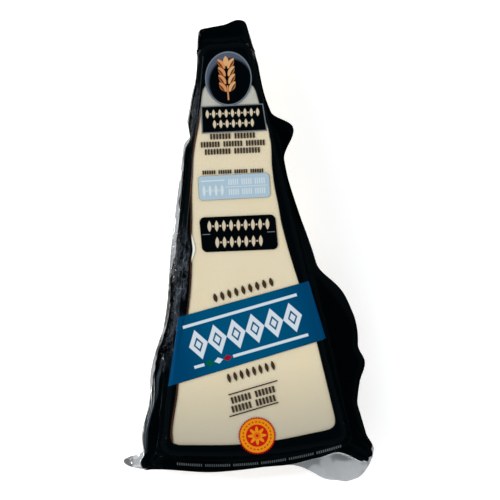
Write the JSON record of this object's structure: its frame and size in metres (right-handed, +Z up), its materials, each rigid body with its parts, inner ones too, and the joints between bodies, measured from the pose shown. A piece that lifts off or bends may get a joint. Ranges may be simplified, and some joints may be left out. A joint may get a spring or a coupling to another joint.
{
  "type": "vacuum-packed cheese wedge",
  "caption": "Wedge of hard grating cheese in a vacuum pack: black printed front film with a clear tapering window, clear back film, wavy sealed flange.",
  "frame": {"origin": "centre of the bounding box's base: the pack lies on its back on the plane z = 0", "axes": "+X to the right as the printed face is read, +Y towards the narrow nose, +Z up, out of the printed face"},
  "size_m": [0.104, 0.1946, 0.0356],
  "materials": {
    "cheese": "smooth cut hard cheese, fine grain, moist under the film",
    "printed_film": "glossy black printed film",
    "window_film": "clear glossy film",
    "clear_film": "clear glossy film, greyish where it creases"
  },
  "bodies": {
    "root": {"cheese_wedge": "cheese", "front_web": "printed_film", "window_web": "window_film", "back_web": "clear_film"}
  },
  "joints": []
}
